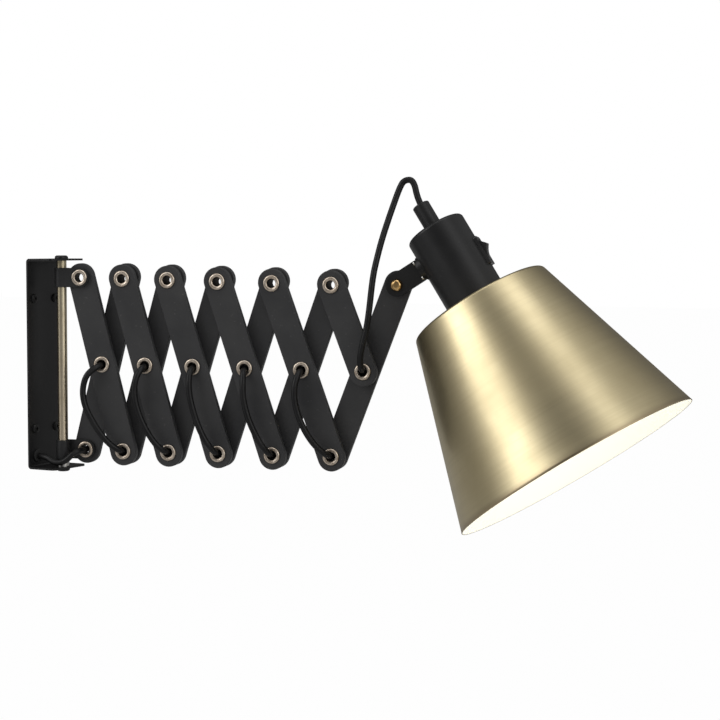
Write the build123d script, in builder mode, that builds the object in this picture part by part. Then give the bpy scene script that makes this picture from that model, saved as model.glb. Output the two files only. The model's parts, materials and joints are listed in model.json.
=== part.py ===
"""Accordion wall lamp: a wall bracket with an upright rod, a lazy-tongs arm of twelve flat bars on
hollow eyelets, and a tilting, swivelling head with a conical brass shade. Millimetres, +Z up,
+X out from the wall, origin on the wall face at the middle of the bracket."""

import math
import os

from build123d import *

# ---- bracket and rod -------------------------------------------------------------------------
plate_width = 44.0
plate_height = 177.0
flange_depth = 27.6
bracket_sheet = 1.6
bend_radius = 3.0
flange_corner = 4.0
rod_stand_off = 20.0        # wall face to rod axis
rod_diameter = 8.4
wall_hole_diameter = 4.5
wall_hole_spread_y = 28.0
wall_hole_spread_z = 110.0
rod_screw_diameter = 5.0
rod_screw_head_diameter = 11.2
rod_screw_head_height = 2.7
rod_screw_length = 12.0

# ---- clips on the rod ------------------------------------------------------------------------
clip_sheet = 1.5
clip_height = 16.2
clip_reach = 18.3           # rod axis to the eyelet in the clip
clip_washer = 1.2
running_gap = 0.15          # between faces and round parts that turn on each other
spacer_wall = 0.9

# ---- arm -------------------------------------------------------------------------------------
crossings = 6
half_bar = 75.0             # pivot to pivot
bar_width = 22.8
bar_thickness = 6.0
bar_tip_reach = 12.0        # pivot to the rounded end
bar_edge_radius = 0.7
lower_pivot_z = -72.8
first_opening = 14.1        # bar angle from the vertical at the first crossing
opening_step = 1.35         # each crossing stands a little wider than the one before
swing_at_rest = 15.0        # arm turned about the rod, from square to the wall

# ---- eyelets ---------------------------------------------------------------------------------
eyelet_bore = 7.3
eyelet_wall = 0.75
eyelet_flange_diameter = 13.8
eyelet_crown = 1.5          # how far the rolled flange stands proud
eyelet_roll = 1.3
pivot_clearance = 0.2
open_pivot_clearance = 1.6  # the upper row closes each loop with play
ring_diameter = 14.4        # brass spacer rings between the two layers

# ---- head ------------------------------------------------------------------------------------
head_tilt_at_rest = 32.5    # head axis from the vertical, in the plane of the arm
head_swivel_at_rest = 6.7   # mouth turned out of the plane of the arm
tab_thickness = 3.0
tab_width = 18.4
tab_gap = 0.3
head_offset = 50.0          # tilt pivot to head axis
pivot_above_shade = 49.8
foot_thickness = 1.6
seat_proud = 0.8            # round seat on the side of the housing, at its thinnest
seat_diameter = 20.6
swivel_gap = 0.15
tilt_bolt_diameter = 6.0
dome_nut_diameter = 9.8
dome_nut_height = 3.6
bolt_head_diameter = 10.0
bolt_head_height = 3.0
swivel_bolt_diameter = 5.0
swivel_head_diameter = 9.0
swivel_head_height = 2.4
foot_screw_diameter = 2.0
foot_screw_head = 3.2
foot_screw_rise = 1.2
foot_screw_spread = 13.6
foot_screw_front = 4.0      # in front of the tab's middle

housing_diameter = 49.6
housing_height = 71.9
housing_wall = 1.2
housing_edge_radius = 3.0
grip_diameter = 14.4
grip_height = 23.1
grip_stem_diameter = 9.4
grip_stem = 8.0
grip_bore = 6.4
grip_bore_depth = 8.0
grip_edge = 1.0

shade_top_diameter = 117.6
shade_mouth_diameter = 208.0
shade_height = 151.5
shade_sheet = 0.8
shade_edge_radius = 3.0
holder_diameter = 40.0
holder_shoulder_diameter = 46.6
holder_top = 16.0
holder_drop = 26.0
holder_bore = 27.6
holder_floor = 4.0
holder_shoulder = 5.0
shade_ring_diameter = 54.0
shade_ring_height = 6.0
bulb_cap_diameter = 26.4
bulb_cap_length = 24.0
bulb_globe_diameter = 60.0
bulb_length = 104.0
bulb_wall = 1.0

switch_length = 25.3
switch_width = 14.0
switch_centre = 35.0
switch_proud = 1.7
switch_rim = 2.0
switch_depth = 10.0
switch_corner = 1.5
well_wall = 1.0
rocker_well = 4.5           # pocket below the rocker's pin
rocker_sunk = 0.3           # pin below the housing's surface
rocker_peak = 6.5
rocker_peak_up = 3.4
rocker_clearance = 0.3
rocker_pin = 1.6
pin_clearance = 0.1
pin_reach = 0.7

# ---- cord ------------------------------------------------------------------------------------
cord_diameter = 5.2
join_depth = -5.0           # where two stretches meet inside an eyelet
lower_join_depth = -7.8
front_exit = 6.0            # first corner of a stretch in front of the bars
back_exit = -15.6           # and behind them
lower_exit = 1.0
grommet_diameter = 11.0
grommet_groove = 8.6
grommet_y = -11.0
grommet_z = -78.0
arc_share = 0.45

os.makedirs("parts", exist_ok=True)

# ---- frames ----------------------------------------------------------------------------------
up = Vector(0, 0, 1)
along = Vector(1, 0, 0).rotate(Axis.Z, swing_at_rest)
toward = Vector(0, -1, 0).rotate(Axis.Z, swing_at_rest)
rod_foot = Vector(rod_stand_off, 0, 0)
arm_plane = Plane(origin=rod_foot, x_dir=along, z_dir=toward)


def at(reach, height, depth=0.0):
    """A point of the arm: out from the rod, up, and off the rod axis towards the front."""
    return rod_foot + along * reach + up * height + toward * depth


def turned(plane_point):
    """The plane that holds a pivot's axis: local x is the radius, local y the depth."""
    return Plane(origin=at(*plane_point), x_dir=along, z_dir=-up)


def save(part, name):
    part.label = name
    export_step(part, f"parts/{name}.step")


# ---- the arm's layers, from the rod outwards --------------------------------------------------
rod_radius = rod_diameter / 2
clip_inner = rod_radius + running_gap
clip_outer = clip_inner + clip_sheet
front_face = clip_inner - clip_washer          # face of the front bars
layer_pitch = clip_inner + clip_outer          # a turned-over clip sits one layer further back
front_back = front_face - bar_thickness
back_face = front_face - layer_pitch           # front face of the back bars
back_back = back_face - bar_thickness
rear_seat = back_back - running_gap
tube_radius = eyelet_bore / 2 + eyelet_wall

# ---- the linkage: rows of pivots ---------------------------------------------------------------
openings = [first_opening + opening_step * k for k in range(crossings)]


def leaning(angle, side, end):
    """Half a bar at an angle from the vertical: side +1 leans right, end +1 goes up."""
    turn = math.radians(angle)
    return Vector(side * half_bar * math.sin(turn), end * half_bar * math.cos(turn))


bottoms = [Vector(clip_reach, lower_pivot_z)]
middles = []
front_tops = []
back_tops = []
for opening in openings:
    middle = bottoms[-1] + leaning(opening, 1, 1)
    middles.append(middle)
    front_tops.append(middle + leaning(opening, -1, 1))
    back_tops.append(middle + leaning(opening, 1, 1))
    bottoms.append(middle + leaning(opening, 1, -1))
upper_pivot = front_tops[0]
head_pivot = back_tops[-1]


def pivot(point, depth=0.0):
    return (point.X, point.Y, depth)


# ---- wall bracket ------------------------------------------------------------------------------
inner_height = plate_height / 2 - bracket_sheet
with BuildPart() as wall_bracket:
    with BuildSketch(Plane.XZ.offset(-plate_width / 2)):
        with BuildLine():
            Polyline(
                (flange_depth, plate_height / 2),
                (0, plate_height / 2),
                (0, -plate_height / 2),
                (flange_depth, -plate_height / 2),
                (flange_depth, -inner_height),
                (bracket_sheet, -inner_height),
                (bracket_sheet, inner_height),
                (flange_depth, inner_height),
                close=True,
            )
        make_face()
    extrude(amount=plate_width)
    bends = wall_bracket.edges().filter_by(Axis.Y).group_by(Axis.X)
    fillet(bends[0], bend_radius)
    bends = wall_bracket.edges().filter_by(Axis.Y)
    fillet([e for e in bends if abs(e.center().X - bracket_sheet) < 0.01], bend_radius - bracket_sheet)
    flange_tips = wall_bracket.edges().filter_by(Axis.Z)
    fillet([e for e in flange_tips if abs(e.center().X - flange_depth) < 0.01], flange_corner)
    with BuildSketch(Plane.XY.offset(-plate_height / 2)):
        with Locations((rod_stand_off, 0)):
            Circle(rod_screw_diameter / 2 + pivot_clearance)
    extrude(amount=plate_height, mode=Mode.SUBTRACT)
    with BuildSketch(Plane.YZ):
        with GridLocations(wall_hole_spread_y, wall_hole_spread_z, 2, 2):
            Circle(wall_hole_diameter / 2)
        with Locations((grommet_y, grommet_z)):
            Circle(grommet_groove / 2)
    extrude(amount=bracket_sheet, mode=Mode.SUBTRACT)
save(wall_bracket.part, "wall_bracket")

with BuildPart() as pivot_rod:
    with BuildSketch(Plane.XY.offset(-inner_height)):
        with Locations((rod_stand_off, 0)):
            Circle(rod_radius)
    extrude(amount=2 * inner_height)
    for end, direction in ((-inner_height, 1), (inner_height, -1)):
        with BuildSketch(Plane.XY.offset(end)):
            with Locations((rod_stand_off, 0)):
                Circle(rod_screw_diameter / 2)
        extrude(amount=direction * rod_screw_length, mode=Mode.SUBTRACT)
save(pivot_rod.part, "pivot_rod")

with BuildPart() as rod_screws:
    for side in (1, -1):
        face_z = side * plate_height / 2
        with BuildSketch(Plane.XY.offset(face_z)):
            with Locations((rod_stand_off, 0)):
                Circle(rod_screw_head_diameter / 2)
        extrude(amount=side * rod_screw_head_height)
        dome = rod_screws.faces().sort_by(Axis.Z)[-1 if side == 1 else 0]
        fillet(dome.edges(), rod_screw_head_height * 0.75)
        with BuildSketch(Plane.XY.offset(face_z)):
            with Locations((rod_stand_off, 0)):
                Circle(rod_screw_diameter / 2)
        extrude(amount=-side * (rod_screw_length + bracket_sheet - 0.5))
save(rod_screws.part, "rod_screws")

lower_clip_foot = lower_pivot_z - clip_height / 2
with BuildPart() as lower_spacer:
    with BuildSketch(Plane.XY.offset(-inner_height)):
        with Locations((rod_stand_off, 0)):
            Circle(rod_radius + running_gap + spacer_wall)
            Circle(rod_radius + running_gap / 2, mode=Mode.SUBTRACT)
    extrude(amount=lower_clip_foot - running_gap + inner_height)
save(lower_spacer.part, "lower_spacer")

grommet_lip = 1.2
with BuildPart() as cable_grommet:
    with BuildSketch(Plane.YZ):
        with Locations((grommet_y, grommet_z)):
            Circle(grommet_groove / 2)
            Circle(cord_diameter / 2, mode=Mode.SUBTRACT)
    extrude(amount=bracket_sheet + grommet_lip)
    with BuildSketch(Plane.YZ.offset(bracket_sheet)):
        with Locations((grommet_y, grommet_z)):
            Circle(grommet_diameter / 2)
            Circle(grommet_groove / 2, mode=Mode.SUBTRACT)
    extrude(amount=grommet_lip)
    rim = cable_grommet.edges().filter_by(GeomType.CIRCLE).sort_by(SortBy.RADIUS)[-1:]
    fillet(rim, grommet_lip / 3)
save(cable_grommet.part, "cable_grommet")


# ---- clips -------------------------------------------------------------------------------------
def make_clip(height, side):
    """A strap looped round the rod whose flat leaf is tangent in front (side 1) or behind (-1)."""
    leaf_middle = side * (clip_inner + clip_sheet / 2)
    foot = Plane(origin=at(0, height - clip_height / 2), x_dir=along, z_dir=up)
    with BuildPart() as clip:
        with BuildSketch(foot):
            Circle(clip_outer)
            with Locations((clip_reach / 2, -leaf_middle)):
                Rectangle(clip_reach, clip_sheet)
            Circle(clip_inner, mode=Mode.SUBTRACT)
        extrude(amount=clip_height)
        with BuildSketch(arm_plane.offset(leaf_middle - clip_sheet / 2)):
            with Locations((clip_reach, height)):
                Circle(clip_height / 2)
        extrude(amount=clip_sheet)
        with BuildSketch(arm_plane.offset(leaf_middle - clip_sheet / 2)):
            with Locations((clip_reach, height)):
                Circle(tube_radius)
        extrude(amount=clip_sheet, mode=Mode.SUBTRACT)
    return clip.part


def add_ring(point, low, high, outer, inner):
    """A plain ring about a pivot between two depths, added to the part being built."""
    with BuildSketch(arm_plane.offset(low)) as section:
        with Locations((point.X, point.Y)):
            Circle(outer)
            Circle(inner, mode=Mode.SUBTRACT)
    extrude(section.sketch, amount=high - low)


def add_eyelet(point, front_seat, back_seat):
    """A hollow rivet: a tube between two seats with a rounded flange rolled over at each end."""
    bore = eyelet_bore / 2
    flange = eyelet_flange_diameter / 2
    crest = bore + eyelet_roll
    front_top = front_seat + eyelet_crown
    back_top = back_seat - eyelet_crown
    lean = eyelet_crown * 0.62
    share = eyelet_roll * (1 - math.sqrt(0.5))
    middle = (crest + flange) / 2
    rim = eyelet_crown * 0.25
    with BuildSketch(turned(pivot(point))) as section:
        with BuildLine():
            Line((bore, back_top + eyelet_roll), (bore, front_top - eyelet_roll))
            ThreePointArc(
                (bore, front_top - eyelet_roll), (bore + share, front_top - share), (crest, front_top)
            )
            ThreePointArc(
                (crest, front_top), (middle + 0.5, front_seat + lean + rim), (flange, front_seat + rim)
            )
            Polyline(
                (flange, front_seat + rim), (flange, front_seat), (tube_radius, front_seat),
                (tube_radius, back_seat), (flange, back_seat), (flange, back_seat - rim),
            )
            ThreePointArc(
                (flange, back_seat - rim), (middle + 0.5, back_seat - lean - rim), (crest, back_top)
            )
            ThreePointArc(
                (crest, back_top), (bore + share, back_top + share), (bore, back_top + eyelet_roll)
            )
        make_face()
    revolve(section.sketch, axis=Axis(at(*pivot(point)), toward))


lower_point = bottoms[0]
save(make_clip(lower_point.Y, -1), "lower_clip")
save(make_clip(upper_pivot.Y, 1), "upper_clip")

washer_radius = eyelet_flange_diameter / 2
with BuildPart() as lower_clip_eyelet:
    add_eyelet(lower_point, -clip_inner, rear_seat)
    add_ring(lower_point, back_face + running_gap, -clip_outer, washer_radius, tube_radius)
save(lower_clip_eyelet.part, "lower_clip_eyelet")

with BuildPart() as upper_clip_eyelet:
    add_eyelet(upper_pivot, clip_outer, front_back - running_gap)
    add_ring(upper_pivot, front_face + running_gap, clip_inner, washer_radius, tube_radius)
save(upper_clip_eyelet.part, "upper_clip_eyelet")


# ---- bars --------------------------------------------------------------------------------------
def make_bar(low, high, face, holes):
    """A flat bar with full-round ends from one end pivot to the other, holed at its pivots."""
    centre = (low + high) * 0.5
    span = high - low
    lean = math.degrees(math.atan2(span.Y, span.X))
    end_offset = bar_tip_reach - bar_width / 2
    with BuildPart() as bar:
        with BuildSketch(arm_plane.offset(face - bar_thickness)):
            with Locations((centre.X, centre.Y)):
                SlotCenterToCenter(span.length + 2 * end_offset, bar_width, rotation=lean)
        extrude(amount=bar_thickness)
        fillet(bar.faces().filter_by(Axis(rod_foot, toward)).edges(), bar_edge_radius)
        for point, radius in holes:
            with BuildSketch(arm_plane.offset(face)):
                with Locations((point.X, point.Y)):
                    Circle(radius)
            extrude(amount=-bar_thickness, mode=Mode.SUBTRACT)
    return bar.part


seat_hole = tube_radius
turning_hole = tube_radius + pivot_clearance
open_hole = tube_radius + open_pivot_clearance

for k in range(crossings):
    last = k == crossings - 1
    low = middles[k] if last else bottoms[k + 1]
    top_hole = turning_hole if k == 0 else seat_hole
    front_holes = [(front_tops[k], top_hole), (middles[k], seat_hole)]
    if not last:
        front_holes.append((low, seat_hole))
    save(make_bar(low, front_tops[k], front_face, front_holes), f"front_bar_{k + 1}")

    tilt_hole = tilt_bolt_diameter / 2 + pivot_clearance
    back_holes = [
        (bottoms[k], turning_hole),
        (middles[k], turning_hole),
        (back_tops[k], tilt_hole if last else open_hole),
    ]
    save(make_bar(bottoms[k], back_tops[k], back_face, back_holes), f"back_bar_{k + 1}")

    # each front bar carries its own eyelets, with a spacer ring round each between the layers
    own_pivots = [middles[k]]
    if k > 0:
        own_pivots.append(front_tops[k])
    if not last:
        own_pivots.append(low)
    with BuildPart() as eyelets:
        for point in own_pivots:
            add_eyelet(point, front_face, rear_seat)
            add_ring(point, back_face + running_gap, front_back, ring_diameter / 2, tube_radius)
    save(eyelets.part, f"eyelets_{k + 1}")

# ---- head frames ---------------------------------------------------------------------------------
tilt = math.radians(head_tilt_at_rest)
swivel = math.radians(head_swivel_at_rest)
tab_front = back_face + tab_gap + tab_thickness
tab_middle = tab_front - tab_thickness / 2
pivot_point = at(*pivot(head_pivot, tab_middle))
outward = along * math.cos(tilt) + up * math.sin(tilt)          # tilt pivot towards the head
flat_down = along * math.sin(tilt) - up * math.cos(tilt)
down = flat_down * math.cos(swivel) + toward * math.sin(swivel)  # head axis, towards the mouth
facing = toward * math.cos(swivel) - flat_down * math.sin(swivel)
shade_centre = pivot_point + outward * head_offset + down * pivot_above_shade
head_section = Plane(origin=shade_centre, x_dir=outward, z_dir=facing)
head_axis = Axis(shade_centre, -down)
swivel_plane = Plane(origin=pivot_point, x_dir=toward, z_dir=outward)
housing_radius = housing_diameter / 2
housing_inner = housing_radius - housing_wall
seat_start = head_offset - housing_radius - seat_proud
foot_start = seat_start - swivel_gap - foot_thickness


def across(height):
    """The plane across the head axis this far above the top of the shade."""
    return Plane(origin=shade_centre - down * height, x_dir=outward, z_dir=-down)


def rims(part, height, radius):
    """The round edges of a head piece at one height and radius."""
    centre = shade_centre - down * height
    circles = part.edges().filter_by(GeomType.CIRCLE)
    return [e for e in circles if (e.arc_center - centre).length < 0.05 and abs(e.radius - radius) < 0.05]


def add_disc(plane, start, length, diameter, mode=Mode.ADD):
    """A round bar or bore along a plane's axis, added to the part being built."""
    with BuildSketch(plane.offset(start)) as section:
        Circle(diameter / 2)
    extrude(section.sketch, amount=length, mode=mode)


# ---- yoke: tab, foot, bolts and screws -----------------------------------------------------------
tab_plane = Plane(origin=pivot_point, x_dir=outward, z_dir=toward)
with BuildPart() as head_tab:
    with BuildSketch(tab_plane.offset(-tab_thickness / 2)):
        Circle(tab_width / 2)
        with Locations((foot_start / 2, 0)):
            Rectangle(foot_start, tab_width)
    extrude(amount=tab_thickness)
    add_disc(swivel_plane, foot_start, foot_thickness, tab_width)
    add_disc(tab_plane, -tab_thickness / 2, tab_thickness, tilt_bolt_diameter, Mode.SUBTRACT)
    add_disc(swivel_plane, foot_start, foot_thickness, swivel_bolt_diameter, Mode.SUBTRACT)
    with BuildSketch(swivel_plane.offset(foot_start)):
        with Locations((foot_screw_front, foot_screw_spread / 2), (foot_screw_front, -foot_screw_spread / 2)):
            Circle(foot_screw_diameter / 2)
    extrude(amount=foot_thickness, mode=Mode.SUBTRACT)
save(head_tab.part, "head_tab")

with BuildPart() as foot_screws:
    for side in (1, -1):
        with BuildSketch(swivel_plane.offset(foot_start)):
            with Locations((foot_screw_front, side * foot_screw_spread / 2)):
                Circle(foot_screw_head / 2)
        extrude(amount=-foot_screw_rise)
        with BuildSketch(swivel_plane.offset(foot_start)):
            with Locations((foot_screw_front, side * foot_screw_spread / 2)):
                Circle(foot_screw_diameter / 2)
        extrude(amount=foot_thickness)
save(foot_screws.part, "foot_screws")

bolt_rear = rear_seat - tab_middle
with BuildPart() as tilt_bolt:
    add_disc(tab_plane, bolt_rear, tab_thickness / 2 - bolt_rear, tilt_bolt_diameter)
    with BuildSketch(tab_plane.offset(bolt_rear)):
        RegularPolygon(bolt_head_diameter / 2, 6)
    extrude(amount=-bolt_head_height)
save(tilt_bolt.part, "tilt_bolt")

with BuildPart() as dome_nut:
    add_disc(tab_plane, tab_thickness / 2, dome_nut_height, dome_nut_diameter)
    nut_top = dome_nut.faces().sort_by(Axis(pivot_point, toward))[-1]
    fillet(nut_top.edges(), dome_nut_height * 0.85)
save(dome_nut.part, "dome_nut")

nut_clear_of_wall = math.sqrt(housing_inner**2 - (swivel_head_diameter / 2) ** 2)
bolt_inside = head_offset - nut_clear_of_wall + swivel_gap
with BuildPart() as swivel_bolt:
    add_disc(swivel_plane, foot_start, bolt_inside - foot_start, swivel_bolt_diameter)
    add_disc(swivel_plane, bolt_inside, swivel_head_height, swivel_head_diameter)
save(swivel_bolt.part, "swivel_bolt")

# ---- socket housing and cord grip ----------------------------------------------------------------
switch_plane = Plane(origin=shade_centre - down * switch_centre, x_dir=facing, z_dir=outward)
well_width = switch_width - 2 * switch_rim
well_length = switch_length - 2 * switch_rim
with BuildPart() as socket_housing:
    add_disc(across(0), 0, housing_height, housing_diameter)
    fillet(rims(socket_housing, housing_height, housing_radius), housing_edge_radius)
    add_disc(swivel_plane, seat_start, housing_radius, seat_diameter)
    add_disc(across(0), 0, housing_height - housing_wall, 2 * housing_inner, Mode.SUBTRACT)
    add_disc(across(0), housing_height - housing_wall, housing_wall, grip_stem_diameter, Mode.SUBTRACT)
    add_disc(
        swivel_plane, seat_start, seat_proud + 2 * housing_wall,
        swivel_bolt_diameter + 2 * pivot_clearance, Mode.SUBTRACT,
    )
    with BuildSketch(switch_plane.offset(housing_inner - 2)):
        Rectangle(well_width, well_length)
    extrude(amount=housing_wall + 2, mode=Mode.SUBTRACT)
save(socket_housing.part, "socket_housing")

grip_top = housing_height + grip_height
with BuildPart() as cord_grip:
    add_disc(across(0), housing_height, grip_height, grip_diameter)
    fillet(rims(cord_grip, grip_top, grip_diameter / 2), grip_edge)
    add_disc(across(0), housing_height - grip_stem, grip_stem, grip_stem_diameter)
    add_disc(across(0), grip_top - grip_bore_depth, grip_bore_depth, grip_bore, Mode.SUBTRACT)
save(cord_grip.part, "cord_grip")

# ---- switch ----------------------------------------------------------------------------------------
switch_face = housing_radius + switch_proud
rocker_pivot = housing_radius - rocker_sunk
with BuildPart() as switch_body:
    with BuildSketch(switch_plane.offset(housing_inner - 2)):
        RectangleRounded(switch_width, switch_length, switch_corner)
    extrude(amount=switch_face - housing_inner + 2)
    add_disc(across(0), 0, housing_height, housing_diameter, Mode.SUBTRACT)
    with BuildSketch(switch_plane.offset(housing_radius - switch_depth)):
        Rectangle(well_width, well_length)
    extrude(amount=switch_depth + switch_proud)
    with BuildSketch(switch_plane.offset(rocker_pivot - rocker_well)):
        Rectangle(well_width - 2 * well_wall, well_length - 2 * well_wall)
    extrude(amount=switch_face - rocker_pivot + rocker_well, mode=Mode.SUBTRACT)
    add_disc(
        head_section.shift_origin(
            head_section.from_local_coords(Vector(rocker_pivot, switch_centre, 0))
        ),
        -well_width / 2 + well_wall / 2, well_width - well_wall,
        rocker_pin + 2 * pin_clearance, Mode.SUBTRACT,
    )
save(switch_body.part, "switch_body")

rocker_width = well_width - 2 * well_wall - 2 * rocker_clearance
rocker_half = well_length / 2 - well_wall - rocker_clearance
rocker_section = Plane(
    origin=head_section.from_local_coords(Vector(rocker_pivot, switch_centre, 0)),
    x_dir=outward, z_dir=facing,
)
with BuildPart() as switch_rocker:
    with BuildSketch(rocker_section.offset(-rocker_width / 2)):
        with BuildLine():
            Polyline(
                (2.0, -rocker_half), (-1.9, -rocker_half), (-1.9, rocker_half),
                (2.0, rocker_half), (2.4, rocker_half - 1.2), (rocker_peak, rocker_peak_up),
            )
            Spline(
                (rocker_peak, rocker_peak_up), (2.9, -3.2), (2.0, -rocker_half),
                tangents=((-0.7, -1.0), (-0.1, -1.0)),
            )
        make_face()
    extrude(amount=rocker_width)
    add_disc(rocker_section, -rocker_width / 2 - pin_reach, rocker_width + 2 * pin_reach, rocker_pin)
save(switch_rocker.part, "switch_rocker")

# ---- shade, lampholder and bulb --------------------------------------------------------------------
flare = (shade_mouth_diameter - shade_top_diameter) / 2 / shade_height
wall_across = shade_sheet * math.sqrt(1 + flare * flare)
top_radius = shade_top_diameter / 2
mouth_radius = shade_mouth_diameter / 2
holder_radius = holder_diameter / 2
with BuildPart() as shade:
    with BuildSketch(head_section):
        with BuildLine():
            Polyline(
                (holder_radius, 0),
                (top_radius, 0),
                (mouth_radius, -shade_height),
                (mouth_radius - wall_across, -shade_height),
                (top_radius + flare * shade_sheet - wall_across, -shade_sheet),
                (holder_radius, -shade_sheet),
                close=True,
            )
        make_face()
    revolve(axis=head_axis)
    fillet(rims(shade, 0, top_radius), shade_edge_radius)
    under_edge = rims(shade, -shade_sheet, top_radius + flare * shade_sheet - wall_across)
    fillet(under_edge, shade_edge_radius - shade_sheet)
save(shade.part, "shade")

with BuildPart() as shade_ring:
    add_disc(across(0), -shade_sheet - shade_ring_height, shade_ring_height, shade_ring_diameter)
    fillet(rims(shade_ring, -shade_sheet - shade_ring_height, shade_ring_diameter / 2), 1.5)
    add_disc(
        across(0), -shade_sheet - shade_ring_height, shade_ring_height, holder_diameter, Mode.SUBTRACT
    )
save(shade_ring.part, "shade_ring")

with BuildPart() as lampholder:
    add_disc(across(0), -holder_drop, holder_drop + holder_top, holder_diameter)
    fillet(rims(lampholder, -holder_drop, holder_radius), 1.5)
    fillet(rims(lampholder, holder_top, holder_radius), 3.0)
    add_disc(across(0), 0, holder_shoulder, holder_shoulder_diameter)
    add_disc(across(0), -holder_drop, holder_drop + holder_floor, holder_bore, Mode.SUBTRACT)
save(lampholder.part, "lampholder")

cap_radius = bulb_cap_diameter / 2
cap_foot = holder_floor - bulb_cap_length
with BuildPart() as bulb_cap:
    add_disc(across(0), cap_foot, bulb_cap_length, bulb_cap_diameter)
    fillet(rims(bulb_cap, holder_floor, cap_radius), 3.0)
save(bulb_cap.part, "bulb_cap")

globe_radius = bulb_globe_diameter / 2
globe_centre = holder_floor - bulb_length + globe_radius
shoulder_angle = math.radians(35)
shoulder = (
    globe_radius * math.cos(shoulder_angle),
    globe_centre + globe_radius * math.sin(shoulder_angle),
)
with BuildPart() as bulb_globe:
    with BuildSketch(head_section):
        with BuildLine():
            Line((0, globe_centre - globe_radius), (0, cap_foot))
            Line((0, cap_foot), (cap_radius, cap_foot))
            Spline(
                (cap_radius, cap_foot), shoulder,
                tangents=((0, -1), (math.sin(shoulder_angle), -math.cos(shoulder_angle))),
            )
            ThreePointArc(
                shoulder,
                (globe_radius * math.cos(-0.4), globe_centre + globe_radius * math.sin(-0.4)),
                (0, globe_centre - globe_radius),
            )
        make_face()
    revolve(axis=head_axis)
    with BuildSketch(head_section):
        with BuildLine():
            inner_radius = globe_radius - bulb_wall
            neck_radius = cap_radius - bulb_wall
            neck_meets = globe_centre + math.sqrt(inner_radius**2 - neck_radius**2)
            Polyline(
                (0, globe_centre - inner_radius), (0, cap_foot),
                (neck_radius, cap_foot), (neck_radius, neck_meets),
            )
            ThreePointArc(
                (neck_radius, neck_meets), (inner_radius, globe_centre), (0, globe_centre - inner_radius)
            )
        make_face()
    revolve(axis=head_axis, mode=Mode.SUBTRACT)
save(bulb_globe.part, "bulb_globe")

# ---- cord --------------------------------------------------------------------------------------------
def lay_cord(name, points):
    """A round cord along straight runs that tangent arcs join, each arc set by its shorter run."""
    radii = []
    for before, corner, after in zip(points, points[1:], points[2:]):
        first = corner - before
        second = after - corner
        half_turn = math.radians(first.get_angle(second)) / 2
        radii.append(arc_share * min(first.length, second.length) / math.tan(half_turn))
    with BuildPart() as cord:
        with BuildLine() as route:
            FilletPolyline(*points, radius=radii)
        with BuildSketch(Plane(origin=points[0], z_dir=points[1] - points[0])):
            Circle(cord_diameter / 2)
        sweep()
    expected = math.pi * cord_diameter**2 / 4 * route.wires()[0].length
    print(name, "arcs", " ".join(f"{r:.1f}" for r in radii), f"volume {cord.part.volume / expected:.4f}")
    save(cord.part, name)


def through(point, depth):
    return at(point.X, point.Y, depth)


# each front stretch leaves the eyelet in the middle of a bar, sags to the left and returns at its foot
front_lays = [
    [(26.8, -7.2, 12.5), (22.9, -20.4, 13.0), (24.6, -33.4, 13.0), (30.8, -45.6, 13.0),
     (38.5, -57.1, 13.0), (47.0, -66.8, 12.2)],
    [(70.2, -8.8, 12.5), (68.6, -22.0, 13.0), (70.9, -35.2, 13.0), (76.1, -48.0, 13.0),
     (82.0, -58.0, 13.0), (88.2, -66.4, 12.4)],
    [(116.1, -10.4, 12.2), (116.9, -22.6, 13.0), (119.6, -34.4, 13.0), (123.4, -46.2, 13.0),
     (128.4, -57.2, 13.0), (133.2, -65.0, 12.5)],
    [(162.9, -10.8, 12.2), (163.0, -22.6, 13.0), (165.4, -35.0, 13.0), (169.4, -46.4, 13.0),
     (174.6, -56.6, 13.0), (179.6, -65.2, 12.4)],
    [(207.3, -10.8, 12.2), (206.4, -22.6, 13.0), (208.8, -35.0, 13.0), (213.6, -47.0, 13.0),
     (220.2, -58.0, 13.0), (227.6, -66.2, 12.3)],
]
for k, lay in enumerate(front_lays):
    start, end = middles[k], bottoms[k + 1]
    lay_cord(f"cord_front_{k + 1}", [
        through(start, join_depth), through(start, front_exit),
        *[at(*p) for p in lay],
        through(end, front_exit), through(end, join_depth),
    ])

# each back stretch climbs behind the bar from its foot to its middle: (share of the way, sideways, depth)
back_lay = [(0.13, 0.8, -20.8), (0.32, -1.0, -22.4), (0.5, -1.6, -22.8), (0.68, -1.0, -22.4),
            (0.87, 0.8, -20.8)]
for k in range(crossings):
    start, end = bottoms[k], middles[k]
    climb = end - start
    side = Vector(climb.Y, -climb.X).normalized()
    hidden = [start + climb * share + side * shift for share, shift, depth in back_lay]
    lay_cord(f"cord_back_{k + 1}", [
        through(start, lower_join_depth if k == 0 else join_depth), through(start, back_exit),
        *[through(p, depth) for p, (share, shift, depth) in zip(hidden, back_lay)],
        through(end, back_exit), through(end, join_depth),
    ])

lay_cord("wall_lead", [
    through(bottoms[0], lower_join_depth), through(bottoms[0], lower_exit),
    at(13.4, -74.2, 8.2), at(5.4, -82.4, 10.4), at(-3.2, -83.6, 10.8),
    Vector(10.0, grommet_y, grommet_z), Vector(0, grommet_y, grommet_z),
])

lead_split = (270.6, 60.6, 11.6)
lay_cord("head_lead_lower", [
    through(middles[-1], join_depth), through(middles[-1], front_exit),
    at(261.4, 6.8, 12.2), at(263.6, 19.4, 13.0), at(267.0, 31.4, 13.0), at(269.2, 45.2, 12.8),
    at(*lead_split),
])
grip_floor = shade_centre - down * (grip_top - grip_bore_depth)
lay_cord("head_lead_upper", [
    at(*lead_split),
    at(271.85, 74.35, 10.53), at(274.2, 89.4, 5.6), at(277.2, 104.6, 0.8), at(281.0, 119.8, -4.6),
    at(284.8, 133.4, -9.2), at(288.8, 145.8, -11.8), at(292.4, 152.4, -12.6), at(300.4, 152.6, -12.6),
    grip_floor - down * (grip_bore_depth + 4.0), grip_floor,
])
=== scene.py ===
# Accordion wall lamp: finishes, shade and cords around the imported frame. Metres, +Z up, +X out of the wall.
import json
import math

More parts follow.
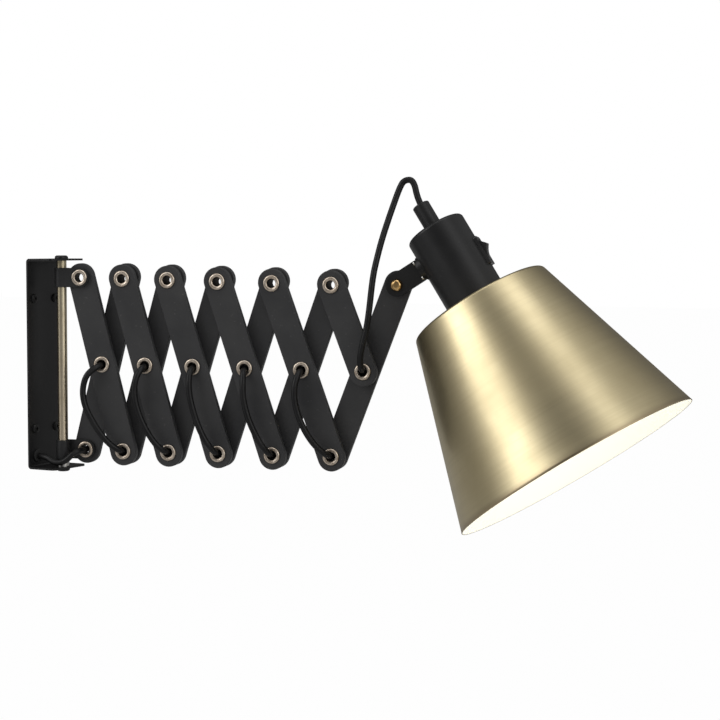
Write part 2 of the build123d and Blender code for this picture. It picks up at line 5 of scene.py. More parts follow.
import bmesh
import bpy
from mathutils import Matrix, Vector


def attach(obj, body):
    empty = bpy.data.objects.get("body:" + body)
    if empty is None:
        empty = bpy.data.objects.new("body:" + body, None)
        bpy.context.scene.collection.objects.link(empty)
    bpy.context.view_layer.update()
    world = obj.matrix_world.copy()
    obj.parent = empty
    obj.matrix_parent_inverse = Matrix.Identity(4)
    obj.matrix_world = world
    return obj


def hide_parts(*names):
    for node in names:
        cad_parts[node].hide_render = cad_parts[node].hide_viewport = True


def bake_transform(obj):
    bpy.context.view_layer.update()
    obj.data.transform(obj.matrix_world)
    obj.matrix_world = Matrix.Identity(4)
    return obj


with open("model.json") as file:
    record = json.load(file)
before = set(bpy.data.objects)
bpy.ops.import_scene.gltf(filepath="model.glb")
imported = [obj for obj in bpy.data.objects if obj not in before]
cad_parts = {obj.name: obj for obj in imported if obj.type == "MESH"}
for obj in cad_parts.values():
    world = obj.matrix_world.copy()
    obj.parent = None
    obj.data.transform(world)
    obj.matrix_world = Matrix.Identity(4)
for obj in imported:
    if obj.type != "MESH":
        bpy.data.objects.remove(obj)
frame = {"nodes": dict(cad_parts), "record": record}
nodes = frame["nodes"]
scene = bpy.context.scene
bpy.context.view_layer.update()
print("frame loaded:", len(nodes), "pieces")

# the camera stands where the photograph was taken, a little above the arm
view = {
    "place": (0.9977, -1.2623, 0.0994),
    "turn": (86.5, 0.0, 28.7),
    "lens": 93.5,
    "film": 36.0,
    "nearest": 0.05,
}
cameraData = bpy.data.cameras.new("camera")
cameraData.lens = view["lens"]
cameraData.sensor_width = view["film"]
cameraData.clip_start = view["nearest"]
camera = bpy.data.objects.new("camera", cameraData)
camera.location = view["place"]
camera.rotation_euler = [math.radians(a) for a in view["turn"]]
scene.collection.objects.link(camera)
scene.camera = camera
viewTurn = math.radians(view["turn"][2])
rightward = Vector((math.cos(viewTurn), math.sin(viewTurn), 0))
towardCamera = Vector((math.sin(viewTurn), -math.cos(viewTurn), 0))

# the arm: rows of pivots worked out as in the real linkage
arm = {
    "rodStandOff": 0.020,
    "swing": 15.0,             # degrees from square to the wall
    "clipReach": 0.0183,
    "lowerPivot": -0.0728,
    "halfBar": 0.075,
    "crossings": 6,
    "firstOpening": 14.1,      # degrees from the vertical
    "openingStep": 1.35,
    "tabMiddle": -0.00525,     # depth of the tilt pivot's middle
}
swing = math.radians(arm["swing"])
along = Vector((math.cos(swing), math.sin(swing), 0))
toward = Vector((math.sin(swing), -math.cos(swing), 0))
up = Vector((0, 0, 1))
rodFoot = Vector((arm["rodStandOff"], 0, 0))


def at(reach, height, depth=0.0):
    return rodFoot + along * reach + up * height + toward * depth


def atMillimetres(point):
    return at(*[x / 1000 for x in point])


lowerRow = [(arm["clipReach"], arm["lowerPivot"])]
middleRow = []
upperEnds = []
for k in range(arm["crossings"]):
    lean = math.radians(arm["firstOpening"] + arm["openingStep"] * k)
    acrossBar = arm["halfBar"] * math.sin(lean)
    upBar = arm["halfBar"] * math.cos(lean)
    foot = lowerRow[-1]
    middle = (foot[0] + acrossBar, foot[1] + upBar)
    middleRow.append(middle)
    upperEnds.append((middle[0] + acrossBar, middle[1] + upBar))
    lowerRow.append((middle[0] + acrossBar, middle[1] - upBar))

# the head: its axis, tilted in the plane of the arm and swivelled out of it
head = {
    "tilt": 32.5,
    "swivel": 6.7,
    "offset": 0.050,            # tilt pivot to the axis
    "pivotAboveShade": 0.0498,
    "gripTop": 0.0950,          # above the top of the shade
    "gripBore": 0.0080,
}
tilt = math.radians(head["tilt"])
swivel = math.radians(head["swivel"])
tiltPivot = at(*upperEnds[-1], arm["tabMiddle"])
outward = along * math.cos(tilt) + up * math.sin(tilt)
flatDown = along * math.sin(tilt) - up * math.cos(tilt)
down = flatDown * math.cos(swivel) + toward * math.sin(swivel)
shadeTop = tiltPivot + outward * head["offset"] + down * head["pivotAboveShade"]
gripFloor = shadeTop - down * (head["gripTop"] - head["gripBore"])


def axes(origin, x, z):
    y = z.cross(x).normalized()
    turn = Matrix((x.normalized(), y, z.normalized())).transposed()
    return Matrix.Translation(origin) @ turn.to_4x4()


headSpace = axes(shadeTop, outward, -down)      # z up the head, 0 at the top of the shade
armSpace = axes(rodFoot, along, toward)         # x out along the arm, y up, z to the front


class Signal:
    # a socket that can be added, multiplied and so on, each time by a new Math node
    def __init__(self, paint, socket):
        self.paint = paint
        self.socket = socket

    def __add__(self, other):
        return self.paint.maths("ADD", self, other)

    def __sub__(self, other):
        return self.paint.maths("SUBTRACT", self, other)

    def __rsub__(self, other):
        return self.paint.maths("SUBTRACT", other, self)

    def __mul__(self, other):
        return self.paint.maths("MULTIPLY", self, other)

    def __truediv__(self, other):
        return self.paint.maths("DIVIDE", self, other)

    __radd__ = __add__
    __rmul__ = __mul__


class Paint:
    # the node tree of one material, or of the world
    def __init__(self, owner):
        owner.use_nodes = True
        self.owner = owner
        self.tree = owner.node_tree
        self.tree.nodes.clear()

    def add(self, kind, settings=None, values=None, output=0):
        node = self.tree.nodes.new(kind)
        for name, setting in (settings or {}).items():
            setattr(node, name, setting)
        for name, value in (values or {}).items():
            if isinstance(value, Signal):
                self.tree.links.new(value.socket, node.inputs[name])
            else:
                node.inputs[name].default_value = value
        return Signal(self, node.outputs[output])

    def maths(self, operation, *terms):
        return self.add("ShaderNodeMath", {"operation": operation}, dict(enumerate(terms)))

    def place(self, space=None):
        where = self.add("ShaderNodeTexCoord", output="Object")
        if space is None:
            return where
        return self.add(
            "ShaderNodeMapping", {"vector_type": "TEXTURE"},
            {"Vector": where, "Location": space.to_translation(), "Rotation": space.to_euler()},
        )

    def split(self, vector):
        node = self.add("ShaderNodeSeparateXYZ", values={"Vector": vector}).socket.node
        return [Signal(self, socket) for socket in node.outputs]

    def join(self, x, y, z):
        return self.add("ShaderNodeCombineXYZ", values={"X": x, "Y": y, "Z": z})

    def stretch(self, vector, factors):
        return self.add("ShaderNodeVectorMath", {"operation": "MULTIPLY"}, {0: vector, 1: factors})

    def dot(self, vector, other):
        return self.add("ShaderNodeVectorMath", {"operation": "DOT_PRODUCT"}, {0: vector, 1: other}, "Value")

    def noise(self, vector, scale, detail, roughness):
        values = {"Vector": vector, "Scale": scale, "Detail": detail, "Roughness": roughness}
        return self.add("ShaderNodeTexNoise", values=values)

    def between(self, signal, low=0.3, high=0.7, toLow=0.0, toHigh=1.0):
        values = {"Value": signal, "From Min": low, "From Max": high, "To Min": toLow, "To Max": toHigh}
        return self.add("ShaderNodeMapRange", {"clamp": True}, values)

    def mix(self, factor, first, second):
        values = {0: factor, 6: rgb(first), 7: rgb(second)}
        return self.add("ShaderNodeMix", {"data_type": "RGBA"}, values, output=2)

    def cover(self, colour, roughness, height, relief, fixed):
        # relief: the bump's strength and its height in metres
        strength, distance = relief
        raised = {"Height": height, "Strength": strength, "Distance": distance}
        bump = self.add("ShaderNodeBump", values=raised)
        values = {"Base Color": colour, "Roughness": roughness, "Normal": bump, **fixed}
        return self.finish(self.add("ShaderNodeBsdfPrincipled", values=values))

    def finish(self, shader, output="ShaderNodeOutputMaterial"):
        self.tree.links.new(shader.socket, self.tree.nodes.new(output).inputs["Surface"])
        return self.owner


def rgb(colour):
    return colour if isinstance(colour, Signal) else (*colour, 1.0)


def toned(tone, factors):
    return [tone * factor for factor in factors]


# In the finishes below a noise is its grains to the metre, its detail and its roughness.
metal = {"Metallic": 1.0}
lowGloss = {"Specular IOR Level": 0.3}

satin = {
    "skin": (1500.0, 3.0, 0.6),
    "drift": (22.0, 3.0, 0.55),
    "dust": (420.0, 1.0, 0.4),
    "dustFrom": (0.72, 0.80),
    "dustShare": 0.35,
    "dark": (0.82, 0.82, 0.86),     # these three are multiples of the paint's tone
    "light": (1.2, 1.19, 1.2),
    "speck": (3.2, 3.1, 3.0),
    "sheenDrift": (-0.05, 0.06),
    "skinSheen": 0.05,
    "dustSheen": 0.1,
    "relief": (0.16, 0.00006),
}


def satinBlack(name, tone, sheen, space=None):
    # sprayed satin paint: a fine skin, slow drifts of tone and a few lighter specks of dust
    paint = Paint(bpy.data.materials.new(name))
    where = paint.place(space)
    skin = paint.noise(where, *satin["skin"])
    drift = paint.noise(where, *satin["drift"])
    dust = paint.between(paint.noise(where, *satin["dust"]), *satin["dustFrom"])
    body = paint.mix(paint.between(drift), toned(tone, satin["dark"]), toned(tone, satin["light"]))
    colour = paint.mix(dust * satin["dustShare"], body, toned(tone, satin["speck"]))
    smooth, rough = [sheen + shift for shift in satin["sheenDrift"]]
    roughness = paint.between(drift, 0.25, 0.75, smooth, rough)
    roughness = roughness + skin * satin["skinSheen"] + dust * satin["dustSheen"]
    return paint.cover(colour, roughness, skin, satin["relief"], lowGloss)


jacket = {
    "ripple": (700.0, 2.0, 0.5),
    "handled": (60.0, 3.0, 0.6),
    "dark": (0.0055, 0.0055, 0.006),
    "light": (0.0105, 0.0102, 0.0105),
    "roughness": (0.36, 0.5),
    "relief": (0.12, 0.0001),
}


def cordJacket():
    # extruded cord: smooth, faintly rippled, dulled where it has been handled
    paint = Paint(bpy.data.materials.new("cordJacket"))
    where = paint.place()
    ripple = paint.noise(where, *jacket["ripple"])
    handled = paint.noise(where, *jacket["handled"])
    colour = paint.mix(paint.between(handled, 0.4), jacket["dark"], jacket["light"])
    roughness = paint.between(handled, 0.3, 0.7, *jacket["roughness"])
    return paint.cover(colour, roughness, ripple, jacket["relief"], lowGloss)


plastic = {
    "flow": (120.0, 2.0, 0.5),
    "smear": (35.0, 4.0, 0.6),
    "clean": (1.0, 1.0, 1.05),      # these two are multiples of the plastic's tone
    "smeared": (1.6, 1.6, 1.6),
    "smearSheen": 0.1,
    "relief": (0.08, 0.0001),
}


def glossPlastic(name, tone, sheen):
    # moulded black plastic, smeared by fingers
    paint = Paint(bpy.data.materials.new(name))
    where = paint.place()
    flow = paint.noise(where, *plastic["flow"])
    smear = paint.noise(where, *plastic["smear"])
    colour = paint.mix(
        paint.between(smear, 0.4, 0.75), toned(tone, plastic["clean"]), toned(tone, plastic["smeared"])
    )
    roughness = paint.between(smear, 0.3, 0.7, sheen, sheen + plastic["smearSheen"])
    return paint.cover(colour, roughness, flow, plastic["relief"], {})


rubber = {
    "bloom": (90.0, 4.0, 0.6),
    "dark": (0.010, 0.010, 0.010),
    "light": (0.024, 0.024, 0.024),
    "roughness": (0.6, 0.75),
    "relief": (0.15, 0.0002),
}


def softRubber():
    paint = Paint(bpy.data.materials.new("softRubber"))
    bloom = paint.noise(paint.place(), *rubber["bloom"])
    colour = paint.mix(bloom, rubber["dark"], rubber["light"])
    roughness = paint.between(bloom, 0.3, 0.7, *rubber["roughness"])
    return paint.cover(colour, roughness, bloom, rubber["relief"], {})


rod = {
    "brushed": (2600.0, 2600.0, 14.0),      # how fine the lines are across the rod, and along it
    "lines": (1.0, 3.0, 0.6),
    "tarnish": (30.0, 4.0, 0.6),
    "foot": -0.09,
    "head": 0.09,
    # the foot's colour is lighter than the head's: a painted reflection
    "paintedLightFoot": (0.80, 0.67, 0.50),
    "headColour": (0.60, 0.54, 0.39),
    "brown": (0.33, 0.26, 0.15),
    "brownShare": 0.6,
    "lineColour": (0.42, 0.36, 0.24),
    "lineShare": 0.25,
    "roughness": (0.20, 0.34),
    "lineSheen": 0.06,
    "relief": (0.10, 0.00004),
}


def brushedRod():
    # drawn brass tube: lines along the rod, tarnished in patches, and lighter towards the foot, where a
    # reflection is painted into the colour
    paint = Paint(bpy.data.materials.new("brushedRod"))
    where = paint.place()
    lines = paint.noise(paint.stretch(where, rod["brushed"]), *rod["lines"])
    tarnish = paint.noise(where, *rod["tarnish"])
    height = paint.split(where)[2]
    # painted reflection: the colour grows lighter towards the foot of the rod
    clean = paint.mix(paint.between(height, rod["foot"], rod["head"]), rod["paintedLightFoot"], rod["headColour"])
    aged = paint.mix(paint.between(tarnish, 0.48, 0.72) * rod["brownShare"], clean, rod["brown"])
    colour = paint.mix(paint.between(lines, 0.35) * rod["lineShare"], aged, rod["lineColour"])
    roughness = paint.between(tarnish, 0.3, 0.75, *rod["roughness"]) + lines * rod["lineSheen"]
    return paint.cover(colour, roughness, lines, rod["relief"], metal)


rivet = {
    "cloud": (260.0, 4.0, 0.62),
    "fine": (2400.0, 2.0, 0.5),
    "worn": (0.36, 0.66),
    "corner": (0.52, 0.43, 0.34),
    "crown": (0.80, 0.70, 0.59),
    "paintedShade": (0.012, 0.009, 0.007),
    "paintedShadeShare": 0.94,
    "paintedShadeFrom": (0.42, 0.10),       # how squarely a face looks along the bore, where the painted shade starts and is full
    "paintedShadeSheen": 0.25,
    "roughness": (0.40, 0.30),
    "relief": (0.06, 0.00004),
}


def antiqueRivet():
    # hollow rivets: warm grey metal rubbed brighter in patches; painted shade darkens the faces down the bore
    # and round the outer edge, so the crown stays bright
    paint = Paint(bpy.data.materials.new("antiqueRivet"))
    where = paint.place(armSpace)
    cloud = paint.noise(where, *rivet["cloud"])
    fine = paint.noise(where, *rivet["fine"])
    worn = paint.mix(paint.between(cloud, *rivet["worn"]), rivet["corner"], rivet["crown"])
    # painted shade: faces turned away from the front, down the bore and round the outer edge, are darkened
    facing = paint.dot(paint.add("ShaderNodeTexCoord", output="Normal"), toward)
    paintedShade = paint.between(paint.maths("ABSOLUTE", facing), *rivet["paintedShadeFrom"])
    colour = paint.mix(paintedShade * rivet["paintedShadeShare"], worn, rivet["paintedShade"])
    roughness = paint.between(cloud, 0.3, 0.7, *rivet["roughness"]) + paintedShade * rivet["paintedShadeSheen"]
    return paint.cover(colour, roughness, fine, rivet["relief"], metal)


steel = {
    "turned": (180.0, 180.0, 2600.0),       # how fine the lines are round the spacer, and up it
    "lines": (1.0, 2.0, 0.5),
    "cloud": (180.0, 3.0, 0.6),
    "dark": (0.50, 0.49, 0.47),
    "light": (0.70, 0.69, 0.66),
    "roughness": (0.22, 0.34),
    "relief": (0.12, 0.00005),
}


def plainSteel():
    paint = Paint(bpy.data.materials.new("plainSteel"))
    where = paint.place()
    lines = paint.noise(paint.stretch(where, steel["turned"]), *steel["lines"])
    cloud = paint.noise(where, *steel["cloud"])
    colour = paint.mix(cloud, steel["dark"], steel["light"])
    roughness = paint.between(cloud, 0.3, 0.7, *steel["roughness"])
    return paint.cover(colour, roughness, lines, steel["relief"], metal)


domedNut = {
    "cloud": (320.0, 3.0, 0.6),
    "dark": (0.70, 0.42, 0.17),
    "light": (0.86, 0.60, 0.28),
    "brown": (0.30, 0.17, 0.08),
    "brownFrom": (0.0036, 0.0049),      # metres from the nut's axis
    "brownShare": 0.75,
    "roughness": (0.13, 0.22),
    "relief": (0.05, 0.00005),
}


def capBrass():
    # the domed nut: polished brass with an orange cast and a brown edge
    paint = Paint(bpy.data.materials.new("capBrass"))
    where = paint.place(axes(tiltPivot, outward, toward))
    x, y, z = paint.split(where)
    radius = paint.maths("SQRT", x * x + y * y)
    cloud = paint.noise(where, *domedNut["cloud"])
    brass = paint.mix(cloud, domedNut["dark"], domedNut["light"])
    edge = paint.between(radius, *domedNut["brownFrom"])
    colour = paint.mix(edge * domedNut["brownShare"], brass, domedNut["brown"])
    roughness = paint.between(cloud, 0.3, 0.7, *domedNut["roughness"])
    return paint.cover(colour, roughness, cloud, domedNut["relief"], metal)


shadeFinish = {
    "clean": (0.640, 0.550, 0.345),
    "deep": (0.530, 0.448, 0.270),
    "deepShare": 0.5,
    "brown": (0.300, 0.225, 0.145),
    "fineLines": 2100.0,            # brush lines to the metre
    "fine": (1.0, 3.0, 0.65),
    "broadLines": 330.0,
    "broad": (1.0, 2.0, 0.6),
    "sweep": 1.3,                   # how short the lines are round the shade
    "patina": (17.0, 4.0, 0.55),
    "flecks": (380.0, 2.0, 0.6),
    "fleckFrom": (0.70, 0.78),
    "fleckShare": 0.15,
    "lip": (0.1024, 0.1038),        # metres from the axis, where the lip turns
    "lipShare": 0.6,
    "roughness": (0.300, 0.370),
    "lineSheen": 0.12,
    "fineHeight": 0.7,
    "broadHeight": 0.5,
    "relief": (0.17, 0.00004),
}


def brushedShade():
    # spun shade brushed on the lathe: every line runs round it
    paint = Paint(bpy.data.materials.new("brushedShade"))
    where = paint.place(headSpace)
    x, y, z = paint.split(where)
    radius = paint.maths("SQRT", x * x + y * y)
    travel = radius - z                              # grows along the top and on down the side
    roundX = x / radius * shadeFinish["sweep"]
    roundY = y / radius * shadeFinish["sweep"]
    finely = paint.join(roundX, roundY, travel * shadeFinish["fineLines"])
    broadly = paint.join(roundX, roundY, travel * shadeFinish["broadLines"])
    fine = paint.noise(finely, *shadeFinish["fine"])
    broad = paint.noise(broadly, *shadeFinish["broad"])
    patina = paint.noise(where, *shadeFinish["patina"])
    flecks = paint.between(paint.noise(where, *shadeFinish["flecks"]), *shadeFinish["fleckFrom"])
    body = paint.mix(paint.between(patina, 0.32, 0.70), shadeFinish["clean"], shadeFinish["deep"])
    lines = paint.between(broad, 0.40, 0.75) * shadeFinish["deepShare"]
    lined = paint.mix(lines, body, shadeFinish["deep"])
    lip = paint.between(radius, *shadeFinish["lip"])
    browned = flecks * shadeFinish["fleckShare"] + lip * shadeFinish["lipShare"]
    colour = paint.mix(browned, lined, shadeFinish["brown"])
    roughness = paint.between(patina, 0.3, 0.7, *shadeFinish["roughness"])
    roughness = roughness + (fine - 0.5) * shadeFinish["lineSheen"]
    height = fine * shadeFinish["fineHeight"] + broad * shadeFinish["broadHeight"]
    return paint.cover(colour, roughness, height, shadeFinish["relief"], metal)


lining = {
    "ivory": (0.90, 0.885, 0.80),
    "drift": (14.0, 2.0, 0.5),
    "driftTone": 0.96,
    "spray": (300.0, 2.0, 0.5),
    "roughness": (0.55, 0.65),
    "relief": (0.05, 0.00003),
    "glow": 0.42,                   # painted light: the lit bulb fills the shade, so the lining glows a little of its own
    "gloss": 0.25,
}


def ivoryLining():
    paint = Paint(bpy.data.materials.new("ivoryLining"))
    where = paint.place(headSpace)
    spray = paint.noise(where, *lining["spray"])
    drift = paint.noise(where, *lining["drift"])
    pale = lining["ivory"]
    colour = paint.mix(paint.between(drift), pale, toned(lining["driftTone"], pale))
    roughness = paint.between(spray, 0.2, 0.8, *lining["roughness"])
    # painted light: emission makes the lining glow a little, in place of the bulb's light
    fixed = {
        "Emission Color": rgb(pale),
        "Emission Strength": lining["glow"],
        "Specular IOR Level": lining["gloss"],
    }
    return paint.cover(colour, roughness, spray, lining["relief"], fixed)


globe = {
    "glass": (0.9, 0.88, 0.84),
    "neckGlow": (1.0, 0.80, 0.58),
    "bellyGlow": (1.0, 0.93, 0.82),
    "neck": -0.030,                 # heights up the head, from the top of the shade
    "belly": -0.055,
    "glow": 3.0,
    "coat": 0.3,
    "frost": (240.0, 2.0, 0.5),
    "roughness": (0.25, 0.4),
    "relief": (0.05, 0.0001),
}


def opalGlass():
    # frosted bulb, lit: brightest round the middle of the globe
    paint = Paint(bpy.data.materials.new("opalGlass"))
    where = paint.place(headSpace)
    height = paint.split(where)[2]
    frost = paint.noise(where, *globe["frost"])
    low = paint.between(height, globe["neck"], globe["belly"])
    warm = paint.mix(low, globe["neckGlow"], globe["bellyGlow"])
    roughness = paint.between(frost, 0.3, 0.7, *globe["roughness"])
    fixed = {"Emission Color": warm, "Emission Strength": globe["glow"], "Coat Weight": globe["coat"]}
    return paint.cover(rgb(globe["glass"]), roughness, frost, globe["relief"], fixed)


bulbCap = {
    "thread": 0.0036,               # metres from turn to turn
    "cloud": (300.0, 3.0, 0.6),
    "dark": (0.62, 0.61, 0.59),
    "light": (0.80, 0.79, 0.77),
    "roughness": (0.2, 0.32),
    "relief": (0.5, 0.0005),
}


def screwCap():
    paint = Paint(bpy.data.materials.new("screwCap"))
    where = paint.place(headSpace)
    height = paint.split(where)[2]
    thread = paint.maths("SINE", height * (2 * math.pi / bulbCap["thread"]))
    cloud = paint.noise(where, *bulbCap["cloud"])
    colour = paint.mix(cloud, bulbCap["dark"], bulbCap["light"])
    roughness = paint.between(cloud, 0.3, 0.7, *bulbCap["roughness"])
    return paint.cover(colour, roughness, thread, bulbCap["relief"], metal)


# black paints and plastics by name, tone and roughness
finishes = {
    "bracket_black": satinBlack("bracketBlack", 0.0115, 0.34),
    "rod_metal": brushedRod(),
    "spacer_steel": plainSteel(),
    "grommet_rubber": softRubber(),
    "clip_black": satinBlack("clipBlack", 0.0260, 0.38),
    "eyelet_brass": antiqueRivet(),
    "bar_black": satinBlack("barBlack", 0.0480, 0.44, armSpace),
    "cord_black": cordJacket(),
    "head_black": satinBlack("headBlack", 0.0185, 0.33, headSpace),
    "nut_brass": capBrass(),
    "shade_brass": brushedShade(),
    "holder_black": glossPlastic("holderPlastic", 0.014, 0.22),
    "bulb_steel": screwCap(),
    "bulb_glass": opalGlass(),
    "switch_black": glossPlastic("switchPlastic", 0.026, 0.16),
}
for part in frame["record"]["subparts"]:
    for slot in nodes[part["node"]].material_slots:
        slot.material = finishes[part["material_slot"]]
print("finishes:", len(finishes))

cordSize = {"diameter": 0.0052, "sides": 5, "steps": 14}


def splineData(name, points, radius):
    data = bpy.data.curves.new(name, "CURVE")
    data.dimensions = "3D"
    data.resolution_u = cordSize["steps"]
    data.bevel_depth = radius
    data.bevel_resolution = cordSize["sides"]
    data.use_fill_caps = radius > 0
    spline = data.splines.new("NURBS")
    spline.points.add(len(points) - 1)
    for target, point in zip(spline.points, points):
        target.co = (*point, 1.0)
    spline.order_u = 3
    spline.use_endpoint_u = True
    return data


def asMesh(obj, name):
    depsgraph = bpy.context.evaluated_depsgraph_get()
    mesh = bpy.data.meshes.new_from_object(obj.evaluated_get(depsgraph))
    mesh.name = name
    return mesh


def linked(name, data):
    obj = bpy.data.objects.new(name, data)
    scene.collection.objects.link(obj)
    return obj


def centreLine(points):
    bare = linked("bareLine", splineData("bareLine", points, 0.0))
    line = [vertex.co.copy() for vertex in asMesh(bare, "bareLine").vertices]
    bpy.data.objects.remove(bare)
    return line


def layCord(node, points, body=None, blend=None):
    # a stretch that rides on one body stays a curve; one that bends between two becomes a mesh tube
    line = centreLine(points)
    data = splineData(node + "_line", points, cordSize["diameter"] / 2)
    data.materials.append(finishes["cord_black"])
    cord = linked(node + "_line", data)
    if blend:
        mesh = asMesh(cord, node + "_tube")
        bpy.data.objects.remove(cord)
        cord = linked(node + "_tube", mesh)
        mesh.materials.clear()
        mesh.materials.append(finishes["cord_black"])
        mesh.polygons.foreach_set("use_smooth", [True] * len(mesh.polygons))
        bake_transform(cord)
    else:
        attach(cord, body)
    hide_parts(node)
    return cord


depths = {"join": -0.0050, "lowerJoin": -0.0078, "front": 0.0060, "back": -0.0156, "lowerExit": 0.0010}

# each front stretch: out of the eyelet in the middle of a bar, sagging to the left, in again at its foot
# in millimetres along the arm, up and to the front
frontLays = [
    [(26.8, -7.2, 12.5), (22.9, -20.4, 13.0), (24.6, -33.4, 13.0), (30.8, -45.6, 13.0),
     (38.5, -57.1, 13.0), (47.0, -66.8, 12.2)],
    [(70.2, -8.8, 12.5), (68.6, -22.0, 13.0), (70.9, -35.2, 13.0), (76.1, -48.0, 13.0),
     (82.0, -58.0, 13.0), (88.2, -66.4, 12.4)],
    [(116.1, -10.4, 12.2), (116.9, -22.6, 13.0), (119.6, -34.4, 13.0), (123.4, -46.2, 13.0),
     (128.4, -57.2, 13.0), (133.2, -65.0, 12.5)],
    [(162.9, -10.8, 12.2), (163.0, -22.6, 13.0), (165.4, -35.0, 13.0), (169.4, -46.4, 13.0),
     (174.6, -56.6, 13.0), (179.6, -65.2, 12.4)],
    [(207.3, -10.8, 12.2), (206.4, -22.6, 13.0), (208.8, -35.0, 13.0), (213.6, -47.0, 13.0),
     (220.2, -58.0, 13.0), (227.6, -66.2, 12.3)],
]
for k, lay in enumerate(frontLays):
    start, end = middleRow[k], lowerRow[k + 1]
    layCord(f"cord_front_{k + 1}", [
        at(*start, depths["join"]), at(*start, depths["front"]),
        *[atMillimetres(p) for p in lay],
        at(*end, depths["front"]), at(*end, depths["join"]),
    ], body=f"front_bar_{k + 1}")

# each back stretch climbs behind its bar: share of the way, shift to the side and depth
backLay = [(0.13, 0.0008, -0.0208), (0.32, -0.0010, -0.0224), (0.5, -0.0016, -0.0228),
           (0.68, -0.0010, -0.0224), (0.87, 0.0008, -0.0208)]
for k in range(arm["crossings"]):
    start, end = Vector(lowerRow[k]), Vector(middleRow[k])
    climb = end - start
    side = Vector((climb.y, -climb.x)).normalized()
    entry = depths["lowerJoin"] if k == 0 else depths["join"]
    layCord(f"cord_back_{k + 1}", [
        at(*start, entry), at(*start, depths["back"]),
        *[at(*(start + climb * share + side * shift), depth) for share, shift, depth in backLay],
        at(*end, depths["back"]), at(*end, depths["join"]),
    ], body=f"back_bar_{k + 1}")

# the leads to the wall and to the head, in the same millimetres
wallLead = {
    "lay": [(13.4, -74.2, 8.2), (5.4, -82.4, 10.4), (-3.2, -83.6, 10.8)],
    "grommet": (-0.0110, -0.0780),      # where it goes through the plate, across and up in metres
    "straight": 0.010,                  # metres square to the wall before it goes in
}
wallExit = Vector((0, *wallLead["grommet"]))
clipExit = at(*lowerRow[0], depths["lowerExit"])
layCord("wall_lead", [
    at(*lowerRow[0], depths["lowerJoin"]), clipExit,
    *[atMillimetres(p) for p in wallLead["lay"]],
    Vector((wallLead["straight"], *wallLead["grommet"])), wallExit,
], blend=("bracket", "lower_clip", wallExit, clipExit))

headLead = {
    "lower": [(261.4, 6.8, 12.2), (263.6, 19.4, 13.0), (267.0, 31.4, 13.0), (269.2, 45.2, 12.8)],
    "split": (270.6, 60.6, 11.6),       # the part below bends with the tilt, the part above with the swivel
    "upper": [(271.85, 74.35, 10.53), (274.2, 89.4, 5.6), (277.2, 104.6, 0.8), (281.0, 119.8, -4.6),
              (284.8, 133.4, -9.2), (288.8, 145.8, -11.8), (292.4, 152.4, -12.6), (300.4, 152.6, -12.6)],
    "overGrip": 0.004,
}
leadStart = at(*middleRow[-1], depths["front"])
leadSplit = atMillimetres(headLead["split"])
layCord("head_lead_lower", [
    at(*middleRow[-1], depths["join"]), leadStart,
    *[atMillimetres(p) for p in headLead["lower"]],
    leadSplit,
], blend=("back_bar_6", "head_yoke", leadStart, leadSplit))
layCord("head_lead_upper", [
    leadSplit,
    *[atMillimetres(p) for p in headLead["upper"]],
    gripFloor - down * (head["gripBore"] + headLead["overGrip"]), gripFloor,
], blend=("head_yoke", "head", leadSplit, gripFloor))
print("cords laid")


def latheMesh(name, outline, around, closed=False):
    # spins an outline of radius and height round Z; a point on the axis stays a single vertex
    shape = bmesh.new()
    rings = []
    for radius, height in outline:
        count = around if radius > 0 else 1
        angles = [2 * math.pi * i / around for i in range(count)]
        rings.append([shape.verts.new((radius * math.cos(a), radius * math.sin(a), height)) for a in angles])
    for ringA, ringB in zip(rings, rings[1:] + (rings[:1] if closed else [])):
        for i in range(around):
            pairs = [(ringA, i), (ringB, i), (ringB, i + 1), (ringA, i + 1)]
            shape.faces.new(list(dict.fromkeys(ring[j % len(ring)] for ring, j in pairs)))
    bmesh.ops.recalc_face_normals(shape, faces=shape.faces)
    mesh = bpy.data.meshes.new(name)
    shape.to_mesh(mesh)
    shape.free()
    return mesh


shade = {
    "topRadius": 0.0588,
    "mouthRadius": 0.1040,
    "height": 0.1515,
    "hole": 0.0200,
    "sheet": 0.0008,
    "edge": 0.0030,
    "around": 240,
    "down": 10,
    "edgeSteps": 8,
    "lipSteps": 6,
    "topRings": (0.035, 0.050),
    "nearEdge": (0.004, 0.02),      # shares of the way down the side with a ring of their own
    "nearLip": 0.985,
}


